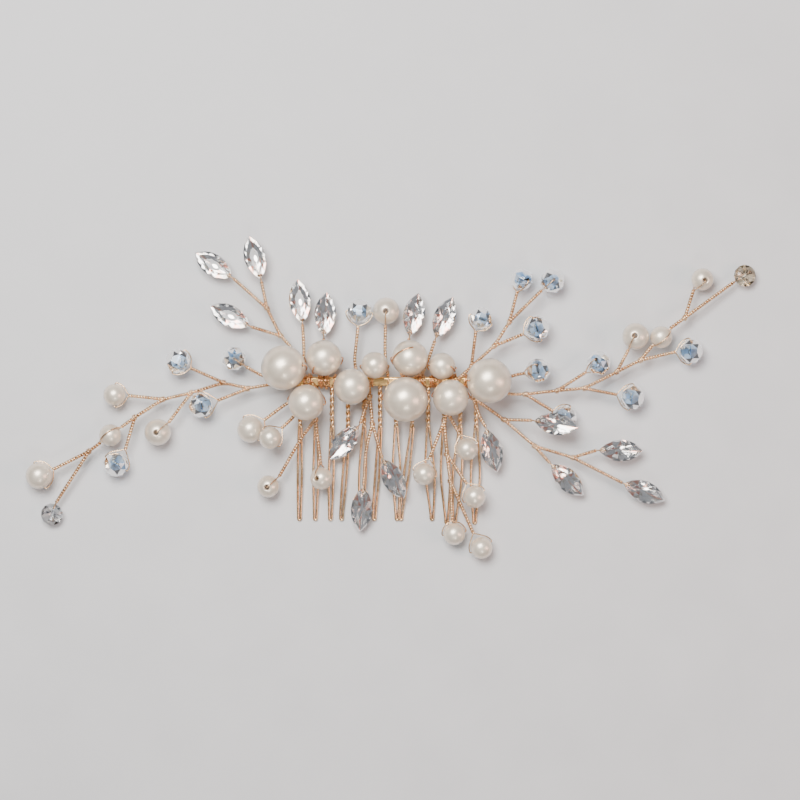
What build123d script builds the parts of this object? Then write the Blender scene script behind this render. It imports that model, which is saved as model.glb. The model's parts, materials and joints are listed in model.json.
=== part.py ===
"""Beaded bridal hair comb: a gold folded bar with twelve hairpin teeth, and wired sprays of
pearls, faceted crystals, marquise stones and round rhinestones.

The comb lies on its back, teeth towards -Y, pearls towards +Z.  All sizes are in millimetres.
X and Y are measured from the middle of the whole ornament, Z from the surface it lies on.
"""
from build123d import *
import os
from math import radians, sqrt, tan

# ---- comb frame --------------------------------------------------------------------------
BAR_LEFT = -22.8
BAR_RIGHT = 20.9
BAR_Y = 3.7
BAR_Z = 2.6
BAR_WIDTH = 2.0
BAR_THICK = 1.1
SLOT_DEPTH = 1.5
SLOT_GAP = 0.58
FOLD_RADIUS = 0.45
LIP_RADIUS = 0.1

TOOTH_PITCH = 3.6
FIRST_TOOTH_X = -20.7
TOOTH_WIRE = 0.55
TWIST_OD = 1.0
TWIST_END_Y = -6.5
TWIST_DROP = 0.15
CLAMP_LAP = 0.1
TOOTH_TILT = 4.3
TOOTH_BEND = 0.28
LEG_GAP = 0.04
TIP_STRAIGHT = 1.2
FORK_LAP = 0.4
# where each hairpin's tip ends, and how wide it is open halfway down
TIP_X = (-20.9, -17.3, -13.9, -11.4, -7.0, -4.0, 1.1, 2.0, 9.0, 12.3, 14.1, 18.6)
MID_HALF = (0.5, 0.6, 0.6, 0.5, 0.9, 0.5, 1.0, 0.6, 1.2, 1.2, 1.2, 1.2)
TIP_Y = (-27.8,) * 9 + (-28.6,) * 3

# ---- wire, pearls and stones ----------------------------------------------------------------
WIRE = 0.3
STEM = 0.6
BRANCH = 0.56
KNOT = 0.72
TIE_KNOT = 0.38
TIE_WIRE = 0.33
BEAD_GAP = 0.12
BAR_GAP = 0.02
PEARL_HOLE = 1.0
HOLE_CHAMFER = 0.15
CRYSTAL_HOLE = 0.9
CRYSTAL_SIDES = 8
CRYSTAL_RINGS = ((-0.94, 0.44), (-0.28, 1.0), (0.28, 1.0), (0.94, 0.44))
NAVETTE_LENGTH = 10.2
NAVETTE_WIDTH = 5.0
NAVETTE_HOLE = 0.9
NAVETTE_HOLE_INSET = 1.25
NAVETTE_LOOP = 1.45
NAVETTE_ARC_STEPS = 3
NAVETTE_RINGS = ((-1.35, 0.4), (-0.15, 1.0), (0.15, 1.0), (0.95, 0.58))
CHATON_DIAMETER = 5.0
CHATON_HOLE_INSET = 1.0
CHATON_LOOP = 1.3
CHATON_SIDES = 12
CHATON_RINGS = ((-1.4, 0.3), (-0.12, 1.0), (0.12, 1.0), (0.85, 0.6))
DRILL_DEPTH = 5

# stems and ties start from knots that sit this far off the bar's front and top faces
ROOT_LIFT = 0.39
FRONT_Z = BAR_Z + BAR_THICK / 2 + ROOT_LIFT
TOP_Y = BAR_Y + BAR_WIDTH / 2 + ROOT_LIFT
UP = (0, 0, 1)

# ---- where things sit -------------------------------------------------------------------------
# base pearls, bound straight onto the bar: centre, diameter, and where the tie meets the bar
BASE_PEARLS = {
    "base_pearl_01": ((-24.2, 6.7, 8.2), 10, (-21.55, TOP_Y, BAR_Z)),
    "base_pearl_02": ((-15.2, 8.9, 7.2), 8, (-14.9, TOP_Y, BAR_Z)),
    "base_pearl_03": ((-19.1, -1.1, 8.2), 8, (-18.0, BAR_Y, FRONT_Z)),
    "base_pearl_04": ((-9.0, 2.5, 7.7), 8, (-8.7, BAR_Y, FRONT_Z)),
    "base_pearl_05": ((-3.9, 7.3, 6.2), 6, (-3.9, TOP_Y, BAR_Z)),
    "base_pearl_06": ((4.0, 8.9, 7.2), 8, (3.6, TOP_Y, BAR_Z)),
    "base_pearl_07": ((3.0, -0.4, 9.2), 10, (2.9, BAR_Y, FRONT_Z)),
    "base_pearl_08": ((11.2, 7.1, 6.1), 6, (10.6, TOP_Y, BAR_Z)),
    "base_pearl_09": ((13.1, 0.0, 8.2), 8, (13.5, BAR_Y, FRONT_Z)),
    "base_pearl_10": ((21.7, 3.8, 9.2), 10, (19.65, BAR_Y, FRONT_Z)),
}

# beads on the sprays: centre, diameter, neck where the wire's twist begins, hole direction.
# A hole of None lies flat, square to the stem.
PEARLS = {
    "pearl_01": ((-79.3, -17.5, 3.0), 6, (-76.1, -16.1, 3.1), None),
    "pearl_02": ((-62.3, 0.65, 3.2), 5, (-59.1, 0.5, 3.5), None),
    "pearl_04": ((-52.6, -7.7, 3.5), 6, (-50.0, -5.4, 3.7), UP),
    "pearl_05": ((-31.8, -7.1, 3.2), 6, (-28.7, -5.0, 3.5), None),
    "pearl_06": ((-27.2, -9.0, 6.3), 5, (-24.7, -6.8, 5.2), None),
    "pearl_07": ((-27.8, -19.9, 3.0), 5, (-25.3, -17.6, 3.4), UP),
    "pearl_08": ((-15.8, -18.1, 4.4), 5, (-16.0, -14.8, 4.2), (-0.5, 0.0, 0.9)),
    "pearl_09": ((-1.3, 19.5, 4.0), 6, (-1.5, 16.2, 3.8), (0.0, 0.35, 1.0)),
    "pearl_10": ((7.2, -17.1, 4.4), 5, (8.4, -13.7, 4.2), None),
    "pearl_11": ((16.8, -11.5, 5.1), 5, (15.3, -8.4, 4.6), None),
    "pearl_12": ((18.5, -22.2, 4.2), 5, (16.8, -19.3, 4.0), None),
    "pearl_13": ((14.0, -30.6, 2.6), 5, (13.5, -27.6, 3.0), None),
    "pearl_14": ((20.1, -33.7, 2.6), 5, (18.3, -30.5, 2.8), None),
    "pearl_15": ((54.6, 13.8, 4.6), 6, (52.9, 10.6, 4.4), (0.0, 0.3, 1.0)),
    "pearl_17": ((69.7, 26.6, 3.2), 5, (67.7, 24.1, 3.2), (0.3, 0.0, 1.0)),
}
CRYSTALS = {
    "crystal_01": ((-48.0, 8.2, 4.4), 5.2, (-45.2, 6.7, 4.3), None),
    "crystal_02": ((-35.4, 8.8, 4.4), 5.2, (-32.7, 6.95, 4.2), UP),
    "crystal_03": ((-42.9, -1.7, 3.4), 5.4, (-39.1, -0.6, 3.8), None),
    "crystal_04": ((-62.0, -15.0, 2.9), 5.2, (-59.9, -11.7, 3.3), None),
    "crystal_05": ((-7.3, 19.4, 3.6), 5.4, (-7.6, 16.1, 3.6), None),
    "crystal_06": ((20.0, 17.8, 4.4), 5.0, (18.8, 15.0, 4.4), None),
    "crystal_07": ((29.1, 26.6, 3.8), 5.0, (28.1, 23.8, 4.2), (0.6, 0.0, 0.8)),
    "crystal_08": ((36.0, 26.2, 3.6), 5.4, (33.5, 24.0, 4.0), UP),
    "crystal_09": ((32.6, 15.6, 4.0), 5.4, (29.5, 14.3, 4.2), None),
    "crystal_10": ((32.7, 6.1, 5.0), 5.2, (29.8, 5.5, 4.9), (0.0, 0.5, 0.87)),
    "crystal_11": ((46.2, 7.7, 4.6), 5.2, (43.4, 5.7, 4.6), (0.0, 0.5, 0.87)),
    "crystal_12": ((67.1, 10.4, 2.9), 5.4, (63.7, 10.3, 3.3), None),
    "crystal_13": ((53.9, 0.1, 3.6), 5.4, (50.4, 0.7, 4.0), None),
    "crystal_14": ((38.8, -4.5, 2.8), 5.2, (36.1, -3.0, 3.4), None),
}

# pearls threaded along a stem: centre, diameter, direction of the stem
INLINE_PEARLS = {
    "pearl_03": ((-63.2, -8.4, 3.5), 5, (-0.8, -0.59, -0.04)),
    "pearl_16": ((60.4, 13.6, 3.6), 5, (0.72, 0.69, -0.04)),
}

# marquise stones by spray: the tip that is wired on, and the free tip
NAVETTES = {
    "navettes_left": (
        ((-35.9, 27.0, 3.6), (-44.3, 32.6, 2.6)),
        ((-29.4, 26.6, 4.2), (-32.1, 36.4, 3.6)),
        ((-31.9, 16.1, 3.8), (-40.9, 20.6, 3.0)),
    ),
    "navettes_top": (
        ((-20.1, 16.7, 4.0), (-21.2, 26.4, 3.2)),
        ((-15.3, 13.7, 3.6), (-14.7, 23.5, 3.0)),
        ((3.9, 13.7, 3.6), (5.8, 22.9, 3.0)),
        ((9.8, 13.3, 3.8), (13.6, 22.5, 3.4)),
    ),
    "navettes_lower": (
        ((-7.4, -6.2, 4.1), (-14.1, -14.0, 3.6)),
        ((-6.4, -20.0, 3.3), (-7.2, -30.0, 2.2)),
        ((-2.1, -13.7, 3.9), (2.8, -22.8, 3.2)),
        ((21.1, -6.9, 4.4), (23.4, -16.0, 3.4)),
    ),
    "navettes_right": (
        ((31.6, -5.1, 6.2), (41.8, -6.7, 6.8)),
        ((35.7, -14.9, 3.8), (43.7, -22.6, 2.6)),
        ((46.3, -11.8, 4.0), (56.7, -11.9, 3.2)),
        ((52.0, -19.2, 3.4), (62.4, -23.5, 2.2)),
    ),
}

# round rhinestones: the wired edge and the centre
RHINESTONES = {
    "rhinestone_left": ((-75.6, -23.9, 2.4), (-76.6, -26.5, 2.1)),
    "rhinestone_right": ((77.2, 26.2, 2.4), (79.6, 27.6, 2.2)),
}

# ---- wire sprays ------------------------------------------------------------------------------
# Each spray is one or more rooted wires.  The first stem starts at its root on the bar, the
# others at a knot of an earlier stem.  A stem ends in the piece that it is named with.
SPRAYS = {
    "wire_left_long": (
        (None, (-22.35, BAR_Y, FRONT_Z), (-29.1, 2.7, 3.4), (-32.2, 2.1, 3.7), (-37.8, 3.4, 4.0),
         (-45.0, 1.1, 4.2), (-51.3, -0.3, 4.1), (-57.7, -4.4, 3.9)),
        ("pearl_03", (-57.7, -4.4, 3.9), (-68.0, -12.0, 3.3)),
        ("pearl_01", (-68.0, -12.0, 3.3)),
        ("crystal_02", (-22.35, BAR_Y, FRONT_Z), (-28.8, 4.7, 3.5)),
        ("crystal_03", (-32.2, 2.1, 3.7)),
        ("crystal_01", (-37.8, 3.4, 4.0)),
        ("pearl_04", (-45.0, 1.1, 4.2)),
        ("pearl_02", (-51.3, -0.3, 4.1)),
        ("crystal_04", (-57.7, -4.4, 3.9)),
        ("rhinestone_left", (-68.0, -12.0, 3.3)),
    ),
    "wire_upper_left": (
        (None, (-19.8, TOP_Y, BAR_Z), (-20.2, 7.2, 2.7), (-22.6, 11.4, 3.6), (-25.0, 13.9, 3.9),
         (-28.0, 20.0, 4.0)),
        ("navettes_left:0", (-28.0, 20.0, 4.0)),
        ("navettes_left:1", (-28.0, 20.0, 4.0)),
        ("navettes_left:2", (-25.0, 13.9, 3.9)),
        ("navettes_top:0", (-20.2, 7.2, 2.7), (-19.7, 9.4, 3.0)),
    ),
    "wire_top_sprigs": (
        ("navettes_top:1", (-15.7, TOP_Y, BAR_Z), (-15.6, 10.5, 2.6)),
        ("crystal_05", (-7.7, TOP_Y, BAR_Z), (-8.5, 8.0, 2.9)),
        ("pearl_09", (-0.9, TOP_Y, BAR_Z), (-1.6, 9.4, 2.9)),
        ("navettes_top:2", (2.1, TOP_Y, BAR_Z), (3.2, 9.0, 2.6)),
        ("navettes_top:3", (6.7, TOP_Y, BAR_Z), (8.4, 9.2, 2.9)),
    ),
    "wire_upper_right": (
        (None, (14.4, BAR_Y, FRONT_Z), (17.8, 7.0, 3.9), (22.9, 11.6, 4.6), (26.3, 17.0, 5.0)),
        ("crystal_06", (17.8, 7.0, 3.9)),
        ("crystal_09", (22.9, 11.6, 4.6)),
        ("crystal_07", (26.3, 17.0, 5.0)),
        ("crystal_08", (26.3, 17.0, 5.0)),
    ),
    "wire_right_long": (
        (None, (20.4, BAR_Y, FRONT_Z), (22.5, 2.6, 3.6), (25.5, 0.8, 3.9), (29.9, 0.8, 4.2),
         (37.0, 1.6, 4.5), (43.1, 2.1, 4.5), (50.4, 5.8, 4.2), (55.7, 8.4, 3.9)),
        ("pearl_16", (55.7, 8.4, 3.9), (65.7, 17.9, 3.3)),
        ("rhinestone_right", (65.7, 17.9, 3.3)),
        ("crystal_10", (22.5, 2.6, 3.6), (26.9, 5.0, 4.2)),
        ("crystal_14", (29.9, 0.8, 4.2)),
        ("crystal_11", (37.0, 1.6, 4.5)),
        ("crystal_13", (43.1, 2.1, 4.5)),
        ("pearl_15", (50.4, 5.8, 4.2)),
        ("crystal_12", (55.7, 8.4, 3.9)),
        ("pearl_17", (65.7, 17.9, 3.3)),
    ),
    "wire_lower_right": (
        (None, (17.1, BAR_Y, FRONT_Z), (18.2, 0.0, 3.9), (25.1, -4.9, 4.6), (31.9, -10.8, 4.2),
         (40.5, -13.4, 4.0)),
        ("navettes_lower:3", (18.2, 0.0, 3.9), (19.7, -4.4, 4.3)),
        ("navettes_right:0", (25.1, -4.9, 4.6)),
        ("navettes_right:1", (31.9, -10.8, 4.2)),
        ("navettes_right:2", (40.5, -13.4, 4.0)),
        ("navettes_right:3", (40.5, -13.4, 4.0)),
    ),
    "wire_lower_left": (
        (None, (-18.7, BAR_Y, FRONT_Z), (-19.2, 0.4, 3.7), (-17.2, -4.8, 3.9)),
        ("pearl_05", (-19.2, 0.4, 3.7), (-23.2, -0.9, 3.8)),
        ("pearl_06", (-19.2, 0.4, 3.7), (-21.9, -4.2, 4.1)),
        ("pearl_07", (-17.2, -4.8, 3.9), (-20.6, -9.4, 3.9)),
        ("pearl_08", (-17.2, -4.8, 3.9)),
    ),
    "wire_lower_middle": (
        (None, (-5.1, BAR_Y, FRONT_Z), (-5.0, 0.5, 3.7), (-4.4, -5.8, 3.8)),
        ("navettes_lower:0", (-5.0, 0.5, 3.7), (-6.2, -3.0, 3.9)),
        ("navettes_lower:1", (-4.4, -5.8, 3.8), (-5.9, -11.7, 3.6)),
        ("navettes_lower:2", (-4.4, -5.8, 3.8)),
    ),
    "wire_tooth_sprig": (
        (None, (12.7, BAR_Y, FRONT_Z), (12.3, -3.0, 3.7), (11.7, -5.2, 3.8), (12.3, -12.7, 3.8),
         (13.1, -18.7, 3.6)),
        ("pearl_13", (13.1, -18.7, 3.6)),
        ("pearl_11", (12.3, -3.0, 3.7)),
        ("pearl_10", (11.7, -5.2, 3.8)),
        ("pearl_12", (12.3, -12.7, 3.8)),
        ("pearl_14", (13.1, -18.7, 3.6)),
    ),
}

# plain turns of the binding wire, by their place along the bar
WRAPS = (-19.25, -16.3, -14.3, -12.7, -12.3, -11.9, -11.5, -11.1, -10.7, -8.3, -3.5, -0.3,
         5.3, 5.7, 6.1, 7.3, 8.9, 9.3, 9.7, 10.1, 16.1)


def tube(start, end, diameter):
    """A round wire from start to end, added to the part that is being built."""
    run = Vector(*end) - Vector(*start)
    with BuildSketch(Plane(origin=start, z_dir=run)) as section:
        Circle(diameter / 2)
    extrude(section.sketch, amount=run.length)


def knot(centre, diameter):
    """A turn of wire where two runs meet, added to the part that is being built."""
    with Locations(Vector(*centre)):
        Cylinder(diameter / 2, diameter)


def flat_hole(centre, neck):
    """Direction of a hole that lies flat and square to the stem."""
    stem = Vector(*neck) - Vector(*centre)
    return Vector(-stem.Y, stem.X, 0).normalized()


def square_to(direction, axis):
    """The part of a direction that is square to an axis, as a unit vector."""
    return (direction - axis * direction.dot(axis)).normalized()


def threaded_loop(centre, hole, towards, radius):
    """One wire through a hole and half way round the bead, on the side of towards."""
    plane = Plane(origin=centre, x_dir=hole, z_dir=hole.cross(towards))
    with BuildLine(plane) as path:
        Line((-radius, 0), (radius, 0))
        ThreePointArc((radius, 0), (0, radius), (-radius, 0))
        fillet(path.vertices(), 2 * WIRE)
    with BuildSketch(Plane(origin=centre, z_dir=hole)) as section:
        Circle(WIRE / 2)
    sweep(section.sketch, path=path.wire())


def loop_radius(diameter):
    """Radius at which a bead's wire passes round it, clear of its surface."""
    return diameter / 2 + BEAD_GAP + WIRE / 2


def end_piece(name):
    """Centre, hole direction, neck and loop radius of the piece that a stem ends in."""
    if name in INLINE_PEARLS:
        centre, diameter, along = INLINE_PEARLS[name]
        axis = Vector(*along).normalized()
        return Vector(*centre), axis, square_to(Vector(*UP), axis), loop_radius(diameter)
    if name in RHINESTONES:
        edge, middle = (Vector(*point) for point in RHINESTONES[name])
        inward = (middle - edge).normalized()
        hole = square_to(Vector(*UP), inward)
        return edge + inward * CHATON_HOLE_INSET, hole, -inward, CHATON_LOOP
    if ":" in name:
        node, number = name.split(":")
        tip, far = (Vector(*point) for point in NAVETTES[node][int(number)])
        inward = (far - tip).normalized()
        hole = square_to(Vector(*UP), inward)
        return tip + inward * NAVETTE_HOLE_INSET, hole, -inward, NAVETTE_LOOP
    centre, diameter, neck, hole = {**PEARLS, **CRYSTALS}[name]
    towards = (Vector(*neck) - Vector(*centre)).normalized()
    across = flat_hole(centre, neck) if hole is None else Vector(*hole)
    return Vector(*centre), square_to(across, towards), towards, loop_radius(diameter)


def add_stem(target, points):
    """Straight runs of twisted wire through the points, then the loop that holds the piece."""
    diameter = STEM if target is None else BRANCH
    route = [Vector(*point) for point in points]
    if target is not None:
        centre, hole, towards, radius = end_piece(target)
        threaded_loop(centre, hole, towards, radius)
        if target in INLINE_PEARLS:
            route = [route[0], centre - hole * radius, centre + hole * radius, route[1]]
        else:
            table = {**PEARLS, **CRYSTALS}
            if target in table:
                route.append(Vector(*table[target][2]))
            route.append(centre + towards * radius)
    for start, end in zip(route, route[1:]):
        tube(start, end, diameter)
    for point in route[:-1]:
        knot(point, KNOT)


def bar_ring(x):
    """One turn of wire round the bar at x."""
    height = BAR_WIDTH + 2 * BAR_GAP + WIRE
    depth = BAR_THICK + 2 * BAR_GAP + WIRE
    with BuildLine(Plane(origin=(x, BAR_Y, BAR_Z), x_dir=(0, 1, 0), z_dir=(1, 0, 0))) as path:
        Polyline((0, depth / 2), (height / 2, depth / 2), (height / 2, -depth / 2),
                 (-height / 2, -depth / 2), (-height / 2, depth / 2), close=True)
        corners = [v for v in path.vertices() if abs(v.Y - BAR_Y) > BAR_WIDTH / 4]
        fillet(corners, WIRE)
    with BuildSketch(Plane(origin=(x, BAR_Y, BAR_Z + depth / 2), z_dir=(0, 1, 0))) as section:
        Circle(WIRE / 2)
    sweep(section.sketch, path=path.wire())


# ---- comb ---------------------------------------------------------------------------------------
os.makedirs("parts", exist_ok=True)

# The bar is one strip of sheet, folded over the tops of the teeth.
with BuildPart() as comb_bar:
    with BuildSketch(Plane(origin=(BAR_LEFT, BAR_Y, BAR_Z), x_dir=(0, 1, 0), z_dir=(1, 0, 0))):
        Rectangle(BAR_WIDTH, BAR_THICK)
        with Locations((SLOT_DEPTH / 2 - BAR_WIDTH / 2, 0)):
            Rectangle(SLOT_DEPTH, SLOT_GAP, mode=Mode.SUBTRACT)
    extrude(amount=BAR_RIGHT - BAR_LEFT)
    fold = comb_bar.edges().filter_by(Axis.X).group_by(Axis.Y)[-1]
    fillet(fold, FOLD_RADIUS)
    lips = comb_bar.edges().filter_by(Axis.X).group_by(Axis.Y)[0]
    fillet(lips, LIP_RADIUS)
comb_bar.part.label = "comb_bar"
export_step(comb_bar.part, "parts/comb_bar.step")

# Each tooth is one hairpin: its two ends are clamped in the bar, twisted together, then open.
lower_edge = BAR_Y - BAR_WIDTH / 2
twist_top = lower_edge - TWIST_DROP
clamp_top = lower_edge + SLOT_DEPTH - CLAMP_LAP
slope = tan(radians(TOOTH_TILT))
tooth_plane = Plane(origin=(0, twist_top, BAR_Z), x_dir=(1, 0, 0), z_dir=(0, -slope, 1))

hairpins = []
for number, (tip_x, mid_half, tip_y) in enumerate(zip(TIP_X, MID_HALF, TIP_Y)):
    root_x = FIRST_TOOTH_X + number * TOOTH_PITCH
    tip_depth = tip_y + TOOTH_WIRE / 2 - twist_top
    fork_depth = TWIST_END_Y - twist_top
    mid_x = (root_x + tip_x) / 2
    mid_depth = (fork_depth + tip_depth) / 2
    half = (TOOTH_WIRE + LEG_GAP) / 2
    with BuildPart() as hairpin:
        with BuildSketch(Plane(origin=(root_x, twist_top - CLAMP_LAP, BAR_Z), x_dir=(1, 0, 0),
                               z_dir=(0, 1, 0))):
            with Locations((-half, 0), (half, 0)):
                Circle(TOOTH_WIRE / 2)
        extrude(amount=clamp_top - twist_top + CLAMP_LAP)
        with BuildSketch(Plane(tooth_plane.from_local_coords((root_x, 0, 0)),
                               z_dir=-tooth_plane.y_dir)):
            Circle(TWIST_OD / 2)
        extrude(amount=-fork_depth)
        with BuildLine(tooth_plane) as legs:
            FilletPolyline((root_x - half, fork_depth + FORK_LAP),
                           (root_x - half, fork_depth - FORK_LAP),
                           (mid_x - mid_half, mid_depth),
                           (tip_x - half, tip_depth + TIP_STRAIGHT),
                           (tip_x - half, tip_depth),
                           (tip_x + half, tip_depth),
                           (tip_x + half, tip_depth + TIP_STRAIGHT),
                           (mid_x + mid_half, mid_depth),
                           (root_x + half, fork_depth - FORK_LAP),
                           (root_x + half, fork_depth + FORK_LAP),
                           radius=TOOTH_BEND)
        with BuildSketch(Plane(legs.wire() @ 0, z_dir=legs.wire() % 0)):
            Circle(TOOTH_WIRE / 2)
        sweep(path=legs.wire())
    hairpins.append(hairpin.part)
comb_teeth = Compound(label="comb_teeth", children=hairpins)
export_step(comb_teeth, "parts/comb_teeth.step")

# Plain turns of the binding wire between the teeth, and one tie for each base pearl.
binding = []
for x in WRAPS:
    with BuildPart() as wrap:
        bar_ring(x)
    binding.append(wrap.part)
for centre, diameter, foot in BASE_PEARLS.values():
    towards = (Vector(*foot) - Vector(*centre)).normalized()
    across = square_to(Vector(1, 0, 0), towards)
    with BuildPart() as tie:
        bar_ring(foot[0])
        knot(foot, TIE_KNOT)
        threaded_loop(Vector(*centre), across, towards, loop_radius(diameter))
        tube(Vector(*centre) + towards * loop_radius(diameter), foot, TIE_WIRE)
    binding.append(tie.part)
binding_wire = Compound(label="binding_wire", children=binding)
export_step(binding_wire, "parts/binding_wire.step")


# ---- beads ----------------------------------------------------------------------------------------
def pearl(diameter, hole_diameter):
    """A pearl with a chamfered hole along Z."""
    radius = diameter / 2
    hole = hole_diameter / 2
    rim = hole + HOLE_CHAMFER
    rim_z = sqrt(radius ** 2 - rim ** 2)
    with BuildPart() as bead:
        with BuildSketch(Plane.XZ):
            with BuildLine():
                Polyline((rim, rim_z), (hole, rim_z - HOLE_CHAMFER),
                         (hole, HOLE_CHAMFER - rim_z), (rim, -rim_z))
                ThreePointArc((rim, -rim_z), (radius, 0), (rim, rim_z))
            make_face()
        revolve(axis=Axis.Z)
    return bead.part


def crystal(diameter):
    """A faceted bicone crystal with its hole along Z."""
    radius = diameter / 2
    with BuildPart() as bead:
        for height, size in CRYSTAL_RINGS:
            with BuildSketch(Plane.XY.offset(height * radius)):
                RegularPolygon(size * radius, CRYSTAL_SIDES)
        loft(ruled=True)
        Cylinder(CRYSTAL_HOLE / 2, 3 * radius, mode=Mode.SUBTRACT)
    return bead.part


def navette():
    """A marquise stone along X with its table up, its wired tip at the origin and a hole there."""
    half_length = NAVETTE_LENGTH / 2
    half_width = NAVETTE_WIDTH / 2
    bow = (half_length ** 2 + half_width ** 2) / (2 * half_width)
    outline = []
    for step in range(-NAVETTE_ARC_STEPS, NAVETTE_ARC_STEPS + 1):
        x = half_length * step / NAVETTE_ARC_STEPS
        outline.append((x + half_length, sqrt(bow ** 2 - x ** 2) - bow + half_width))
    outline += [(x, -y) for x, y in reversed(outline[1:-1])]
    with BuildPart() as stone:
        for height, size in NAVETTE_RINGS:
            with BuildSketch(Plane.XY.offset(height)):
                with BuildLine():
                    Polyline([(half_length + (x - half_length) * size, y * size)
                              for x, y in outline], close=True)
                make_face()
        loft(ruled=True)
        with Locations((NAVETTE_HOLE_INSET, 0, 0)):
            Cylinder(NAVETTE_HOLE / 2, DRILL_DEPTH, mode=Mode.SUBTRACT)
    return stone.part


def chaton():
    """A round rhinestone with its table up, its wired edge at the origin and a hole there."""
    radius = CHATON_DIAMETER / 2
    with BuildPart() as stone:
        for height, size in CHATON_RINGS:
            with BuildSketch(Plane.XY.offset(height)):
                with Locations((radius, 0)):
                    RegularPolygon(size * radius, CHATON_SIDES)
        loft(ruled=True)
        with Locations((CHATON_HOLE_INSET, 0, 0)):
            Cylinder(NAVETTE_HOLE / 2, DRILL_DEPTH, mode=Mode.SUBTRACT)
    return stone.part


def save(name, part):
    part.label = name
    export_step(part, f"parts/{name}.step")


for name, (centre, diameter, foot) in BASE_PEARLS.items():
    towards = (Vector(*foot) - Vector(*centre)).normalized()
    across = square_to(Vector(1, 0, 0), towards)
    save(name, Plane(origin=centre, z_dir=across).location * pearl(diameter, PEARL_HOLE))

for table, make in ((PEARLS, lambda size: pearl(size, PEARL_HOLE)), (CRYSTALS, crystal)):
    for name, (centre, diameter, neck, hole) in table.items():
        across = end_piece(name)[1]
        save(name, Plane(origin=centre, z_dir=across).location * make(diameter))

for name, (centre, diameter, along) in INLINE_PEARLS.items():
    save(name, Plane(origin=centre, z_dir=along).location * pearl(diameter, PEARL_HOLE))

for name, stones in NAVETTES.items():
    placed = []
    for tip, far in stones:
        inward = Vector(*far) - Vector(*tip)
        face = square_to(Vector(*UP), inward.normalized())
        placed.append(Plane(origin=tip, x_dir=inward, z_dir=face).location * navette())
    save(name, Compound(children=placed))

for name, (edge, middle) in RHINESTONES.items():
    inward = Vector(*middle) - Vector(*edge)
    face = square_to(Vector(*UP), inward.normalized())
    save(name, Plane(origin=edge, x_dir=inward, z_dir=face).location * chaton())


# ---- wire sprays ------------------------------------------------------------------------------------
for name, stems in SPRAYS.items():
    roots = [points[0] for _, *points in stems if points[0][2] in (FRONT_Z, BAR_Z)]
    with BuildPart() as spray:
        for x in sorted({root[0] for root in roots}):
            bar_ring(x)
        for target, *points in stems:
            add_stem(target, points)
    save(name, spray.part)
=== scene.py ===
"""The looks of the beaded bridal hair comb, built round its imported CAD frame.

The comb lies on its back on a pale table and is seen from straight above.  Routes and places
are in millimetres in the comb's frame; meshes are made in metres.
"""
import json
import math

import bpy
import numpy as np
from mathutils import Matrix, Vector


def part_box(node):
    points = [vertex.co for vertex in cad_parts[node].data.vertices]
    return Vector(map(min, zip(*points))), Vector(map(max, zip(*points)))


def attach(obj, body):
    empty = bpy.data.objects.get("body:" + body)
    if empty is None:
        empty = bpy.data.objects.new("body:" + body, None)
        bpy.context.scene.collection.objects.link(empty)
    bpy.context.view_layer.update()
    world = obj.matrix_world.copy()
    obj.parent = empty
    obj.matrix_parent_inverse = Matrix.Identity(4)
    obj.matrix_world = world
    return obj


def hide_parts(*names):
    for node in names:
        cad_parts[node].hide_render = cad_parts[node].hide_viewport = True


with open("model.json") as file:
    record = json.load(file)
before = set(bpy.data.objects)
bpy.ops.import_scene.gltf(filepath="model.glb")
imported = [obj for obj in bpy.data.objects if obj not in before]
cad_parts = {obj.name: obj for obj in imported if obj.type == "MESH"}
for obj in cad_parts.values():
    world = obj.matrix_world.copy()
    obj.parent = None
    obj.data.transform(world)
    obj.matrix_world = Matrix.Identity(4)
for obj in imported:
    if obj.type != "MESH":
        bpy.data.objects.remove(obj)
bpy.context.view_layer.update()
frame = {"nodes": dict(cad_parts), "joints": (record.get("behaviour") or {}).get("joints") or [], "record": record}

MM = 0.001
ROOT = "comb"

# ---- sizes, in millimetres -------------------------------------------------------------------
BAR_Y = 3.7
BAR_Z = 2.6
BAR_WIDTH = 2.0
BAR_THICK = 1.1
TOOTH_PITCH = 3.6
FIRST_TOOTH_X = -20.7
TOOTH_WIRE = 0.55
TOOTH_TWIST_PITCH = 3.2
TWIST_TOP_Y = 2.55
TWIST_END_Y = -6.5
TOOTH_TILT = 4.3
SHANK_RISE = 1.2
FORK_LAP = 0.9
TOE_LENGTH = 1.4
TIP_STRAIGHT = 0.3
TOOTH_BEND = 6.0
TIP_X = (-20.9, -17.3, -13.9, -11.4, -7.0, -4.0, 1.1, 2.0, 9.0, 12.3, 14.1, 18.6)
MID_HALF = (0.5, 0.6, 0.6, 0.5, 0.9, 0.5, 1.0, 0.6, 1.2, 1.2, 1.2, 1.2)
TIP_Y = (-27.8,) * 9 + (-28.6,) * 3
WIRE = 0.3
WIRE_SIDES = 7
WIRE_STEP = 0.14
WRAP_STEP = 0.16
WRAP_CLEAR = 0.03
WRAP_TURNS = 1.02
STRAND = 0.22
STRAND_STEP = 0.13
TWIST_PITCH = 1.3
STEM_BEND = 2.2
LOOP_BEND = 0.5
LOOP_LIFT = 0.95
LOOP_LEAD = 0.45
INLINE_LEAD = 0.3
KNOT_CLEAR = 0.08
BEAD_GAP = 0.12
PEARL_HOLE = 1.0
HOLE_RIM = 0.3
CRYSTAL_HOLE = 0.9
CRYSTAL_SIDES = 8
NAVETTE_LENGTH = 10.2
NAVETTE_WIDTH = 5.0
NAVETTE_TRIM = 0.05
NAVETTE_SIDES = 16
NAVETTE_HOLE = 0.9
NAVETTE_HOLE_INSET = 1.25
CHATON_DIAMETER = 5.0
CHATON_SIDES = 12
CHATON_HOLE_INSET = 1.0
BAR_STANDOFF = 0.39
FRONT_Z = BAR_Z + BAR_THICK / 2 + BAR_STANDOFF
TOP_Y = BAR_Y + BAR_WIDTH / 2 + BAR_STANDOFF
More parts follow.
